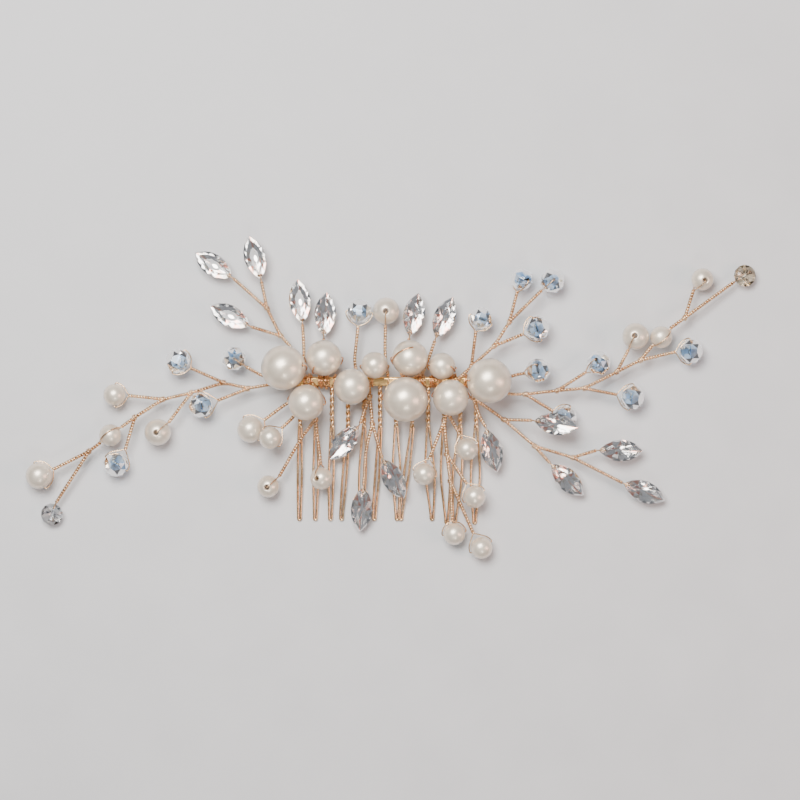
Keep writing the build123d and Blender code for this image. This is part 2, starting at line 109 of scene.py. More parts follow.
UP = np.array((0.0, 0.0, 1.0))

# cut of the stones from the back up: height, size, and whether the corners are turned half a step
NAVETTE_CUT = ((-1.35, 0.16, False), (-0.8, 0.62, True), (-0.1, 1.0, False), (0.1, 1.0, False),
               (0.6, 0.76, True), (0.95, 0.42, False))
CHATON_CUT = ((-1.35, 0.18, False), (-0.7, 0.64, True), (-0.1, 1.0, False), (0.1, 1.0, False),
              (0.5, 0.80, True), (0.8, 0.55, False))
# cut of the upper half of a crystal: radius and height over the bead's radius, and the turn
CRYSTAL_CUT = ((0.44, 0.93, 0.0), (0.82, 0.58, 0.5), (0.995, 0.20, 0.0))
# order in which the crystals' painted blue reflections, and the stones' foils and painted reflections, follow each
# other from facet to facet
PAINTED_REFLECTION_ORDER = (0, 1, 0, 2, 1, 2, 1, 0, 0, 1, 2, 1, 0)
FOIL_AND_REFLECTION_ORDER = (1, 3, 1, 2, 1, 1, 2, 1, 3, 1, 1)
# tight turns of binding wire between each two teeth, and where the turns at the bar's ends are
TURNS_IN_GAP = (6, 7, 8, 6, 2, 1, 4, 7, 8, 6, 5)
END_TURNS_X = (-22.45, -22.1, -21.75, -21.4, 19.65, 20.0, 20.35, 20.7)

# ---- layout, as in the CAD model -------------------------------------------------------------
# neck of each bead: where its wire's twist begins
NECKS = {
    "pearl_01": (-76.1, -16.1, 3.1), "pearl_02": (-59.1, 0.5, 3.5),
    "pearl_04": (-50.0, -5.4, 3.7), "pearl_05": (-28.7, -5.0, 3.5),
    "pearl_06": (-24.7, -6.8, 5.2), "pearl_07": (-25.3, -17.6, 3.4),
    "pearl_08": (-16.0, -14.8, 4.2), "pearl_09": (-1.5, 16.2, 3.8),
    "pearl_10": (8.4, -13.7, 4.2), "pearl_11": (15.3, -8.4, 4.6),
    "pearl_12": (16.8, -19.3, 4.0), "pearl_13": (13.5, -27.6, 3.0),
    "pearl_14": (18.3, -30.5, 2.8), "pearl_15": (52.9, 10.6, 4.4),
    "pearl_17": (67.7, 24.1, 3.2),
    "crystal_01": (-45.2, 6.7, 4.3), "crystal_02": (-32.7, 6.95, 4.2),
    "crystal_03": (-39.1, -0.6, 3.8), "crystal_04": (-59.9, -11.7, 3.3),
    "crystal_05": (-7.6, 16.1, 3.6), "crystal_06": (18.8, 15.0, 4.4),
    "crystal_07": (28.1, 23.8, 4.2), "crystal_08": (33.5, 24.0, 4.0),
    "crystal_09": (29.5, 14.3, 4.2), "crystal_10": (29.8, 5.5, 4.9),
    "crystal_11": (43.4, 5.7, 4.6), "crystal_12": (63.7, 10.3, 3.3),
    "crystal_13": (50.4, 0.7, 4.0), "crystal_14": (36.1, -3.0, 3.4),
}

BASE_PEARLS = {
    "base_pearl_01": ((-24.2, 6.7, 8.2), 10, (-21.55, TOP_Y, BAR_Z)),
    "base_pearl_02": ((-15.2, 8.9, 7.2), 8, (-14.9, TOP_Y, BAR_Z)),
    "base_pearl_03": ((-19.1, -1.1, 8.2), 8, (-18.0, BAR_Y, FRONT_Z)),
    "base_pearl_04": ((-9.0, 2.5, 7.7), 8, (-8.7, BAR_Y, FRONT_Z)),
    "base_pearl_05": ((-3.9, 7.3, 6.2), 6, (-3.9, TOP_Y, BAR_Z)),
    "base_pearl_06": ((4.0, 8.9, 7.2), 8, (3.6, TOP_Y, BAR_Z)),
    "base_pearl_07": ((3.0, -0.4, 9.2), 10, (2.9, BAR_Y, FRONT_Z)),
    "base_pearl_08": ((11.2, 7.1, 6.1), 6, (10.6, TOP_Y, BAR_Z)),
    "base_pearl_09": ((13.1, 0.0, 8.2), 8, (13.5, BAR_Y, FRONT_Z)),
    "base_pearl_10": ((21.7, 3.8, 9.2), 10, (19.65, BAR_Y, FRONT_Z)),
}

NAVETTES = {
    "navettes_left": (
        ((-35.9, 27.0, 3.6), (-44.3, 32.6, 2.6)),
        ((-29.4, 26.6, 4.2), (-32.1, 36.4, 3.6)),
        ((-31.9, 16.1, 3.8), (-40.9, 20.6, 3.0)),
    ),
    "navettes_top": (
        ((-20.1, 16.7, 4.0), (-21.2, 26.4, 3.2)),
        ((-15.3, 13.7, 3.6), (-14.7, 23.5, 3.0)),
        ((3.9, 13.7, 3.6), (5.8, 22.9, 3.0)),
        ((9.8, 13.3, 3.8), (13.6, 22.5, 3.4)),
    ),
    "navettes_lower": (
        ((-7.4, -6.2, 4.1), (-14.1, -14.0, 3.6)),
        ((-6.4, -20.0, 3.3), (-7.2, -30.0, 2.2)),
        ((-2.1, -13.7, 3.9), (2.8, -22.8, 3.2)),
        ((21.1, -6.9, 4.4), (23.4, -16.0, 3.4)),
    ),
    "navettes_right": (
        ((31.6, -5.1, 6.2), (41.8, -6.7, 6.8)),
        ((35.7, -14.9, 3.8), (43.7, -22.6, 2.6)),
        ((46.3, -11.8, 4.0), (56.7, -11.9, 3.2)),
        ((52.0, -19.2, 3.4), (62.4, -23.5, 2.2)),
    ),
}

RHINESTONES = {
    "rhinestone_left": ((-75.6, -23.9, 2.4), (-76.6, -26.5, 2.1)),
    "rhinestone_right": ((77.2, 26.2, 2.4), (79.6, 27.6, 2.2)),
}

SPRAYS = {
    "wire_left_long": (
        (None, (-22.35, BAR_Y, FRONT_Z), (-29.1, 2.7, 3.4), (-32.2, 2.1, 3.7), (-37.8, 3.4, 4.0),
         (-45.0, 1.1, 4.2), (-51.3, -0.3, 4.1), (-57.7, -4.4, 3.9)),
        ("pearl_03", (-57.7, -4.4, 3.9), (-68.0, -12.0, 3.3)),
        ("pearl_01", (-68.0, -12.0, 3.3)),
        ("crystal_02", (-22.35, BAR_Y, FRONT_Z), (-28.8, 4.7, 3.5)),
        ("crystal_03", (-32.2, 2.1, 3.7)),
        ("crystal_01", (-37.8, 3.4, 4.0)),
        ("pearl_04", (-45.0, 1.1, 4.2)),
        ("pearl_02", (-51.3, -0.3, 4.1)),
        ("crystal_04", (-57.7, -4.4, 3.9)),
        ("rhinestone_left", (-68.0, -12.0, 3.3)),
    ),
    "wire_upper_left": (
        (None, (-19.8, TOP_Y, BAR_Z), (-20.2, 7.2, 2.7), (-22.6, 11.4, 3.6), (-25.0, 13.9, 3.9),
         (-28.0, 20.0, 4.0)),
        ("navettes_left:0", (-28.0, 20.0, 4.0)),
        ("navettes_left:1", (-28.0, 20.0, 4.0)),
        ("navettes_left:2", (-25.0, 13.9, 3.9)),
        ("navettes_top:0", (-20.2, 7.2, 2.7), (-19.7, 9.4, 3.0)),
    ),
    "wire_top_sprigs": (
        ("navettes_top:1", (-15.7, TOP_Y, BAR_Z), (-15.6, 10.5, 2.6)),
        ("crystal_05", (-7.7, TOP_Y, BAR_Z), (-8.5, 8.0, 2.9)),
        ("pearl_09", (-0.9, TOP_Y, BAR_Z), (-1.6, 9.4, 2.9)),
        ("navettes_top:2", (2.1, TOP_Y, BAR_Z), (3.2, 9.0, 2.6)),
        ("navettes_top:3", (6.7, TOP_Y, BAR_Z), (8.4, 9.2, 2.9)),
    ),
    "wire_upper_right": (
        (None, (14.4, BAR_Y, FRONT_Z), (17.8, 7.0, 3.9), (22.9, 11.6, 4.6), (26.3, 17.0, 5.0)),
        ("crystal_06", (17.8, 7.0, 3.9)),
        ("crystal_09", (22.9, 11.6, 4.6)),
        ("crystal_07", (26.3, 17.0, 5.0)),
        ("crystal_08", (26.3, 17.0, 5.0)),
    ),
    "wire_right_long": (
        (None, (20.4, BAR_Y, FRONT_Z), (22.5, 2.6, 3.6), (25.5, 0.8, 3.9), (29.9, 0.8, 4.2),
         (37.0, 1.6, 4.5), (43.1, 2.1, 4.5), (50.4, 5.8, 4.2), (55.7, 8.4, 3.9)),
        ("pearl_16", (55.7, 8.4, 3.9), (65.7, 17.9, 3.3)),
        ("rhinestone_right", (65.7, 17.9, 3.3)),
        ("crystal_10", (22.5, 2.6, 3.6), (26.9, 5.0, 4.2)),
        ("crystal_14", (29.9, 0.8, 4.2)),
        ("crystal_11", (37.0, 1.6, 4.5)),
        ("crystal_13", (43.1, 2.1, 4.5)),
        ("pearl_15", (50.4, 5.8, 4.2)),
        ("crystal_12", (55.7, 8.4, 3.9)),
        ("pearl_17", (65.7, 17.9, 3.3)),
    ),
    "wire_lower_right": (
        (None, (17.1, BAR_Y, FRONT_Z), (18.2, 0.0, 3.9), (25.1, -4.9, 4.6), (31.9, -10.8, 4.2),
         (40.5, -13.4, 4.0)),
        ("navettes_lower:3", (18.2, 0.0, 3.9), (19.7, -4.4, 4.3)),
        ("navettes_right:0", (25.1, -4.9, 4.6)),
        ("navettes_right:1", (31.9, -10.8, 4.2)),
        ("navettes_right:2", (40.5, -13.4, 4.0)),
        ("navettes_right:3", (40.5, -13.4, 4.0)),
    ),
    "wire_lower_left": (
        (None, (-18.7, BAR_Y, FRONT_Z), (-19.2, 0.4, 3.7), (-17.2, -4.8, 3.9)),
        ("pearl_05", (-19.2, 0.4, 3.7), (-23.2, -0.9, 3.8)),
        ("pearl_06", (-19.2, 0.4, 3.7), (-21.9, -4.2, 4.1)),
        ("pearl_07", (-17.2, -4.8, 3.9), (-20.6, -9.4, 3.9)),
        ("pearl_08", (-17.2, -4.8, 3.9)),
    ),
    "wire_lower_middle": (
        (None, (-5.1, BAR_Y, FRONT_Z), (-5.0, 0.5, 3.7), (-4.4, -5.8, 3.8)),
        ("navettes_lower:0", (-5.0, 0.5, 3.7), (-6.2, -3.0, 3.9)),
        ("navettes_lower:1", (-4.4, -5.8, 3.8), (-5.9, -11.7, 3.6)),
        ("navettes_lower:2", (-4.4, -5.8, 3.8)),
    ),
    "wire_tooth_sprig": (
        (None, (12.7, BAR_Y, FRONT_Z), (12.3, -3.0, 3.7), (11.7, -5.2, 3.8), (12.3, -12.7, 3.8),
         (13.1, -18.7, 3.6)),
        ("pearl_13", (13.1, -18.7, 3.6)),
        ("pearl_11", (12.3, -3.0, 3.7)),
        ("pearl_10", (11.7, -5.2, 3.8)),
        ("pearl_12", (12.3, -12.7, 3.8)),
        ("pearl_14", (13.1, -18.7, 3.6)),
    ),
}

# pearls threaded in the run of a long stem
INLINE_PEARLS = ("pearl_03", "pearl_16")

# strands that show on the front of a base pearl: the directions where each starts and ends
STRAYS = (
    ("base_pearl_06", (0.15, 0.55, 0.80), (-0.95, -0.25, 0.10)),
    ("base_pearl_02", (-0.50, -0.50, 0.70), (-0.55, -0.80, -0.10)),
    ("base_pearl_08", (0.60, -0.05, 0.75), (0.90, -0.40, 0.0)),
)


# ---- vectors and meshes ----------------------------------------------------------------------
def vec(point):
    return np.array(point, dtype=float)


def unit(v):
    return v / np.linalg.norm(v)


def square_to(direction, axis):
    """The part of a direction that is square to a unit axis, as a unit vector."""
    return unit(direction - axis * direction.dot(axis))


class Mesh:
    """Vertices in millimetres and faces, collected and then made into one object."""

    def __init__(self):
        self.verts = []
        self.faces = []
        self.slots = []
        self.count = 0

    def add(self, verts, faces, slots=None):
        """slots holds the material's number for each face, and is left out where it is all 0."""
        self.verts.append(np.asarray(verts, dtype=float))
        self.faces.extend(tuple(i + self.count for i in face) for face in faces)
        self.slots.extend(slots or [0] * len(faces))
        self.count += len(verts)

    def build(self, name, body, materials, replaced, smooth=True):
        data = bpy.data.meshes.new(name)
        data.from_pydata(np.concatenate(self.verts) * MM, [], self.faces)
        data.polygons.foreach_set("use_smooth", [smooth] * len(self.faces))
        data.polygons.foreach_set("material_index", self.slots)
        for material in materials:
            data.materials.append(material)
        data.update()
        piece = bpy.data.objects.new(name, data)
        bpy.context.scene.collection.objects.link(piece)
        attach(piece, body)
        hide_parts(*replaced)


def resample(points, step):
    """Points evenly spaced along a polyline."""
    points = np.asarray(points, dtype=float)
    gaps = np.linalg.norm(np.diff(points, axis=0), axis=1)
    along = np.concatenate(([0.0], np.cumsum(gaps)))
    count = max(2, int(round(along[-1] / step)) + 1)
    places = np.linspace(0.0, along[-1], count)
    return np.stack([np.interp(places, along, points[:, k]) for k in range(3)], axis=1)


def rounded(points, bend):
    """A route whose corners are eased into curves, each at most bend long on either side."""
    points = [vec(p) for p in points]
    route = [points[0]]
    for before, corner, after in zip(points, points[1:], points[2:]):
        into = min(bend, 0.45 * np.linalg.norm(corner - before))
        out = min(bend, 0.45 * np.linalg.norm(after - corner))
        start = corner + unit(before - corner) * into
        end = corner + unit(after - corner) * out
        for t in np.linspace(0.0, 1.0, 9):
            route.append(start * (1 - t) ** 2 + corner * 2 * t * (1 - t) + end * t ** 2)
    route.append(points[-1])
    return np.array(route)


def carried_frames(points):
    """Tangents and two normals along a path, carried along it without extra turning."""
    tangents = np.gradient(points, axis=0)
    tangents /= np.linalg.norm(tangents, axis=1)[:, None]
    side = UP if abs(tangents[0][2]) < 0.9 else vec((1, 0, 0))
    normals = [square_to(side, tangents[0])]
    for tangent in tangents[1:]:
        normals.append(square_to(normals[-1], tangent))
    normals = np.array(normals)
    return tangents, normals, np.cross(tangents, normals)


def add_tube(mesh, points, radius, sides=WIRE_SIDES):
    """A round wire along points, with domed ends."""
    dome_rise, dome_size = 0.35 * radius, 0.7 * radius
    points = np.asarray(points, dtype=float)
    tangents, normals, others = carried_frames(points)
    angles = np.linspace(0, 2 * math.pi, sides, endpoint=False)
    ring = np.cos(angles)[None, :, None] * normals[:, None, :]
    ring = ring + np.sin(angles)[None, :, None] * others[:, None, :]
    body = points[:, None, :] + radius * ring
    start = points[0] - tangents[0] * dome_rise + dome_size * ring[0]
    end = points[-1] + tangents[-1] * dome_rise + dome_size * ring[-1]
    verts = np.concatenate((start, body.reshape(-1, 3), end))
    faces = []
    for row in range(len(points) + 1):
        for k in range(sides):
            a = row * sides + k
            b = row * sides + (k + 1) % sides
            faces.append((a, b, b + sides, a + sides))
    faces.append(tuple(range(sides - 1, -1, -1)))
    faces.append(tuple(range((len(points) + 1) * sides, (len(points) + 2) * sides)))
    mesh.add(verts, faces)


def add_twist(mesh, route, phase=0.0):
    """Two wires twisted together along a route."""
    points = resample(route, STRAND_STEP)
    _, normals, others = carried_frames(points)
    length = np.linalg.norm(np.diff(points, axis=0), axis=1)
    along = np.concatenate(([0.0], np.cumsum(length)))
    # the twist is done by hand, so it tightens and slackens a little along the stem
    turn = 2 * math.pi * along / TWIST_PITCH + 0.5 * np.sin(along / 3.1 + 5 * phase) + phase
    for strand in (0.0, math.pi):
        angle = turn + strand
        offset = np.cos(angle)[:, None] * normals + np.sin(angle)[:, None] * others
        add_tube(mesh, points + STRAND * 0.98 * offset, STRAND)


def add_loop(mesh, centre, hole, neck, reach):
    """One wire: from the neck, round a bead, through its hole and back to the neck."""
    out = neck - centre
    distance = np.linalg.norm(out)
    towards = unit(out)
    radius = WIRE / 2
    open_angle = math.acos(min(0.98, reach / distance))
    half = []
    for angle in np.linspace(open_angle, math.pi / 2 - 0.16, 14):
        half.append((reach * math.sin(angle), reach * math.cos(angle)))
    corner = (reach - LOOP_BEND, LOOP_BEND * 1.02)
    for angle in np.linspace(math.pi / 2, 0.0, 7):
        half.append((corner[0] + LOOP_BEND * math.sin(angle),
                     corner[1] - LOOP_BEND * math.cos(angle)))
    spread = 0.9 * radius
    for side in (1, -1):
        half_points = [centre + towards * distance + hole * side * spread]
        half_points += [centre + hole * side * x + towards * y for x, y in half]
        half_points.append(centre)
        add_tube(mesh, resample(half_points, WIRE_STEP), radius)


# ---- materials -------------------------------------------------------------------------------
class Nodes:
    """A material's node tree, with short ways to add and join nodes."""

    def __init__(self, name):
        self.material = bpy.data.materials.new(name)
        self.material.use_nodes = True
        self.tree = self.material.node_tree
        self.shader = self.tree.nodes["Principled BSDF"]
        self.coords = self.add("ShaderNodeTexCoord").outputs["Object"]

    def add(self, kind, **values):
        node = self.tree.nodes.new(kind)
        for key, value in values.items():
            setattr(node, key, value)
        return node

    def link(self, source, target):
        self.tree.links.new(source, target)

    def set(self, **values):
        for key, value in values.items():
            self.shader.inputs[key.replace("_", " ")].default_value = value

    def noise(self, scale, detail=3.0, roughness=0.55):
        node = self.add("ShaderNodeTexNoise")
        node.inputs["Scale"].default_value = scale
        node.inputs["Detail"].default_value = detail
        node.inputs["Roughness"].default_value = roughness
        self.link(self.coords, node.inputs["Vector"])
        return node.outputs["Fac"]

    def ramp(self, source, *stops):
        node = self.add("ShaderNodeValToRGB")
        ramp = node.color_ramp
        while len(ramp.elements) < len(stops):
            ramp.elements.new(0.5)
        for element, (place, colour) in zip(ramp.elements, stops):
            element.position = place
            element.color = (*colour, 1.0)
        self.link(source, node.inputs["Fac"])
        return node.outputs["Color"]

    def level(self, source, low, high, source_low=0.3, source_high=0.7):
        node = self.add("ShaderNodeMapRange")
        node.inputs["From Min"].default_value = source_low
        node.inputs["From Max"].default_value = source_high
        node.inputs["To Min"].default_value = low
        node.inputs["To Max"].default_value = high
        self.link(source, node.inputs["Value"])
        return node.outputs["Result"]

    def mix(self, factor, first, second, mode="MIX"):
        node = self.add("ShaderNodeMix", data_type="RGBA", blend_type=mode)
        for socket, value in (("Factor", factor), ("A", first), ("B", second)):
            slot = [s for s in node.inputs if s.name == socket and s.enabled][0]
            if isinstance(value, bpy.types.NodeSocket):
                self.link(value, slot)
            else:
                slot.default_value = value if socket == "Factor" else (*value, 1.0)
        return [s for s in node.outputs if s.enabled][0]

    def bump(self, source, strength, distance):
        node = self.add("ShaderNodeBump")
        node.inputs["Strength"].default_value = strength
        node.inputs["Distance"].default_value = distance
        self.link(source, node.inputs["Height"])
        self.link(node.outputs["Normal"], self.shader.inputs["Normal"])


def metal(name, light, deep, rough, scratch_scale=900.0):
    """Plated wire or strip: colour that drifts along it, and fine drawing marks."""
    nodes = Nodes(name)
    nodes.set(Metallic=1.0)
    drift = nodes.noise(160.0, 4.0)
    fine = nodes.noise(scratch_scale, 5.0, 0.7)
    tone = nodes.ramp(drift, (0.32, deep), (0.62, light))
    marks = nodes.ramp(fine, (0.25, (0.72, 0.66, 0.60)), (0.6, (1.0, 1.0, 1.0)))
    nodes.link(nodes.mix(0.45, tone, marks, "MULTIPLY"), nodes.shader.inputs["Base Color"])
    nodes.link(nodes.level(fine, rough, rough + 0.16), nodes.shader.inputs["Roughness"])
    nodes.bump(fine, 0.12, 0.00003)
    return nodes.material


def pearl_material(name, light, deep):
    """Imitation pearl: part metallic nacre under clear lacquer, with painted shade and a painted cool reflection
    that darken the rim.
    """
    nodes = Nodes(name)
    nodes.set(Metallic=0.5, IOR=1.6, Coat_Weight=0.8, Coat_Roughness=0.24, Coat_IOR=1.5)
    nodes.set(Sheen_Weight=0.12, Sheen_Roughness=0.4)
    cloud = nodes.noise(320.0, 3.0)
    pits = nodes.noise(2600.0, 4.0, 0.6)
    body = nodes.ramp(cloud, (0.3, deep), (0.7, light))
    facing = nodes.add("ShaderNodeLayerWeight")
    facing.inputs["Blend"].default_value = 0.40
    # painted shade and reflection: the colour darkens and turns cool blue towards the rim, where the surface turns
    # away
    rim = nodes.ramp(facing.outputs["Facing"],
                     (0.0, (1.0, 0.99, 0.97)), (0.45, (0.97, 0.92, 0.90)),
                     (0.8, (0.80, 0.82, 0.86)), (1.0, (0.70, 0.78, 0.88)))
    nodes.link(nodes.mix(1.0, body, rim, "MULTIPLY"), nodes.shader.inputs["Base Color"])
    nodes.link(nodes.level(cloud, 0.30, 0.42), nodes.shader.inputs["Roughness"])
    nodes.bump(pits, 0.04, 0.00002)
    return nodes.material


def glass_material(name, clear, tint_and_painted_reflection, rough=0.015):
    """Cut glass: clear, with a cast that comes and goes between its facets. On the crystals both colours are
    painted reflection of a blue surround, and on the marquises the faint pink cast is a painted reflection.
    """
    nodes = Nodes(name)
    nodes.set(IOR=1.54, Transmission_Weight=1.0)
    zone = nodes.noise(420.0, 0.0)
    nodes.link(nodes.ramp(zone, (0.44, tint_and_painted_reflection), (0.53, clear)), nodes.shader.inputs["Base Color"])
    wear = nodes.noise(1800.0, 4.0)
    nodes.link(nodes.level(wear, rough, rough + 0.04, 0.5, 0.8), nodes.shader.inputs["Roughness"])
    return nodes.material


def foil_and_reflection_material(name, light, deep, rough=0.08):
    """The mirror foil on the back of a stone, a little mottled; the same material also carries the painted
    reflections of the back facets.
    """
    nodes = Nodes(name)
    nodes.set(Metallic=1.0)
    mottle = nodes.noise(900.0, 2.0)
    nodes.link(nodes.ramp(mottle, (0.36, deep), (0.62, light)), nodes.shader.inputs["Base Color"])
    nodes.link(nodes.level(mottle, rough, rough + 0.08), nodes.shader.inputs["Roughness"])
    return nodes.material


VINE = metal("vine_wire_champagne", (0.92, 0.68, 0.45), (0.64, 0.40, 0.23), 0.17)
BINDING = metal("binding_wire_rose_gold", (0.92, 0.55, 0.29), (0.70, 0.33, 0.14), 0.16)
TEETH = metal("tooth_wire_gold", (0.90, 0.65, 0.40), (0.72, 0.45, 0.24), 0.17)
STRIP = metal("bar_strip_gold", (0.94, 0.60, 0.24), (0.82, 0.46, 0.15), 0.13, 500.0)
PEARL = pearl_material("pearl_ivory", (0.92, 0.83, 0.69), (0.85, 0.74, 0.59))
SMALL_PEARL = pearl_material("pearl_cream", (0.92, 0.84, 0.71), (0.86, 0.76, 0.62))
# painted reflection: the crystals are clear glass, and these faint, pale and steel blues stand in for the blue
# surround seen through their facets
CRYSTAL_PAINTED_REFLECTIONS = (
    glass_material("crystal_painted_faint_blue_reflection", (0.76, 0.87, 0.98), (0.58, 0.74, 0.93)),
    glass_material("crystal_painted_pale_blue_reflection", (0.58, 0.75, 0.95), (0.38, 0.59, 0.87)),
    glass_material("crystal_painted_steel_blue_reflection", (0.34, 0.54, 0.82), (0.16, 0.34, 0.64)),
)
# the faint pink patches of the marquise glass are painted reflection
NAVETTE_GLASS = glass_material("marquise_glass", (1.0, 1.0, 1.0), (0.97, 0.93, 0.92), 0.005)
# silver is the stones' foil; the rose and grey backs are painted reflections, set facet by facet
NAVETTE_FOIL_AND_REFLECTIONS = (
    foil_and_reflection_material("marquise_foil_silver", (0.98, 0.97, 0.95), (0.92, 0.90, 0.88)),
    foil_and_reflection_material("marquise_foil_painted_rose_reflection", (0.97, 0.66, 0.55), (0.92, 0.45, 0.35)),
    foil_and_reflection_material("marquise_foil_painted_grey_reflection", (0.87, 0.81, 0.73), (0.72, 0.64, 0.56)),
)
ROUND_GLASS = glass_material("rhinestone_glass", (1.0, 1.0, 1.0), (0.93, 0.95, 0.97), 0.005)
# the dark back is a painted dark reflection in the facets, not a foil colour
ROUND_FOIL_AND_REFLECTIONS = (
    foil_and_reflection_material("rhinestone_foil_silver", (0.98, 0.98, 0.98), (0.90, 0.90, 0.91), 0.3),
    foil_and_reflection_material("rhinestone_foil_pale", (0.98, 0.95, 0.92), (0.90, 0.86, 0.83), 0.2),
    foil_and_reflection_material("rhinestone_foil_painted_dark_reflection", (0.76, 0.76, 0.78), (0.50, 0.50, 0.52)),
)
WARM_GLASS = glass_material("rhinestone_glass_champagne", (1.0, 0.96, 0.90), (0.95, 0.88, 0.78),
                            0.005)
# the dark back is a painted dark reflection in the facets, not a foil colour
WARM_FOIL_AND_REFLECTIONS = (
    foil_and_reflection_material("champagne_foil_silver", (0.98, 0.93, 0.84), (0.90, 0.83, 0.72), 0.3),
    foil_and_reflection_material("champagne_foil_gold", (0.96, 0.82, 0.60), (0.84, 0.66, 0.44), 0.2),
    foil_and_reflection_material("champagne_foil_painted_dark_reflection", (0.72, 0.62, 0.50), (0.48, 0.40, 0.32)),
)


# ---- where each piece is ---------------------------------------------------------------------
SPIN = {joint["child"]: joint for joint in frame["joints"]}
BODY_OF = {nodes[0]: body for body, nodes in frame["record"]["behaviour"]["bodies"].items()
           if body != ROOT}


def bead_place(node):
    """Centre, hole direction and diameter of a bead, from its joint and its box."""
    joint = SPIN[BODY_OF[node]]
    low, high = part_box(node)
    diameter = max(high[k] - low[k] for k in range(3)) / MM
    return vec(joint["pos_m"]) / MM, unit(vec(joint["axis"])), round(2 * diameter) / 2


def bead_reach(diameter):
    """How far the middle of a wire is from the middle of the bead that it goes round."""
    return diameter / 2 + BEAD_GAP + WIRE / 2


def is_stone(target):
    return target in RHINESTONES or ":" in target


def stone_place(target):
    """A stone's wired edge, the direction into it from there, and the direction it faces."""
    if target in RHINESTONES:
        edge, far = (vec(point) for point in RHINESTONES[target])
    else:
        node, number = target.split(":")
        edge, far = (vec(point) for point in NAVETTES[node][int(number)])
    inward = unit(far - edge)
    return edge, inward, square_to(UP, inward)


# ---- beads -----------------------------------------------------------------------------------
def turned(profile, centre, axis, sides, twist=0.0):
    """Rings of points round an axis: profile is a closed list of (radius, height, turn)."""
    side = square_to(UP if abs(axis[2]) < 0.9 else vec((1, 0, 0)), axis)
    other = np.cross(axis, side)
    verts = []
    for radius, height, turn in profile:
        for k in range(sides):
            angle = 2 * math.pi * (k + turn) / sides + twist
            offset = radius * (math.cos(angle) * side + math.sin(angle) * other)
            verts.append(centre + axis * height + offset)
    return verts


def facet_band(row, rows, sides, step=0):
    """Faces from one row of corners to the next: four-sided, or three-sided where it is turned.

    step tells which way the next row is turned.
    """
    upper = (row + 1) % rows
    faces = []
    for k in range(sides):
        n = (k + 1) % sides
        a, b = row * sides + k, row * sides + n
        c, d = upper * sides + n, upper * sides + k
        if step == 0:
            faces.append((a, b, c, d))
        elif step > 0:
            faces += [(a, b, d), (b, c, d)]
        else:
            faces += [(a, b, c), (a, c, d)]
    return faces


def make_pearl(node, body, centre, axis, diameter, material):
    """A pearl with a drilled, softly rimmed hole."""
    radius = diameter / 2
    hole = PEARL_HOLE / 2
    rim = hole + HOLE_RIM
    start = math.asin(rim / radius)
    profile = [(radius * math.sin(a), radius * math.cos(a), 0)
               for a in np.linspace(start, math.pi - start, 56)]
    edge = radius * math.cos(start)
    dish = [(rim - 0.1, 0.02), (rim - 0.2, 0.10), (hole + 0.02, 0.26), (hole, 0.42)]
    profile += [(r, depth - edge, 0) for r, depth in dish]
    profile += [(r, edge - depth, 0) for r, depth in reversed(dish)]
    sides = 64
    faces = []
    for row in range(len(profile)):
        faces += facet_band(row, len(profile), sides)
    mesh = Mesh()
    mesh.add(turned(profile, centre, axis, sides), faces)
    mesh.build(node + "_bead", body, [material], [node])


def painted_reflection_of(row, facet, start):
    """Which of the crystal's three painted reflections of a blue surround a facet shows: the faint, pale blue or
    steel blue one.
    """
    return PAINTED_REFLECTION_ORDER[(4 * row + 3 * facet + start) % len(PAINTED_REFLECTION_ORDER)]


def make_crystal(node, body, centre, axis, diameter):
    """A cut bead: two rows of three-sided facets at each end, flats round the middle."""
    radius = diameter / 2
    hole = CRYSTAL_HOLE / 2
    cut = CRYSTAL_CUT + tuple((r, -z, t) for r, z, t in reversed(CRYSTAL_CUT))
    profile = [(r * radius, z * radius, t) for r, z, t in cut]
    profile += [(hole, profile[-1][1], 0.0), (hole, profile[0][1], 0.0)]
    faces = []
    reflection_slots = []
    for row, (_, _, turn) in enumerate(profile):
        step = profile[(row + 1) % len(profile)][2] - turn
        band = facet_band(row, len(profile), CRYSTAL_SIDES, step)
        faces += band
        reflection_slots += [painted_reflection_of(row, facet, len(node)) for facet in range(len(band))]
    mesh = Mesh()
    mesh.add(turned(profile, centre, axis, CRYSTAL_SIDES, twist=0.3), faces, reflection_slots)
    mesh.build(node + "_bead", body, list(CRYSTAL_PAINTED_REFLECTIONS), [node], smooth=False)


def back_slot_of(row, facet):
    """Which of the three backs a facet has: mostly silver foil, with a tinted back and a painted dark reflection
    among it; on the marquises the tinted back is a painted rose reflection.
    """
    return FOIL_AND_REFLECTION_ORDER[(5 * row + 3 * facet) % len(FOIL_AND_REFLECTION_ORDER)]


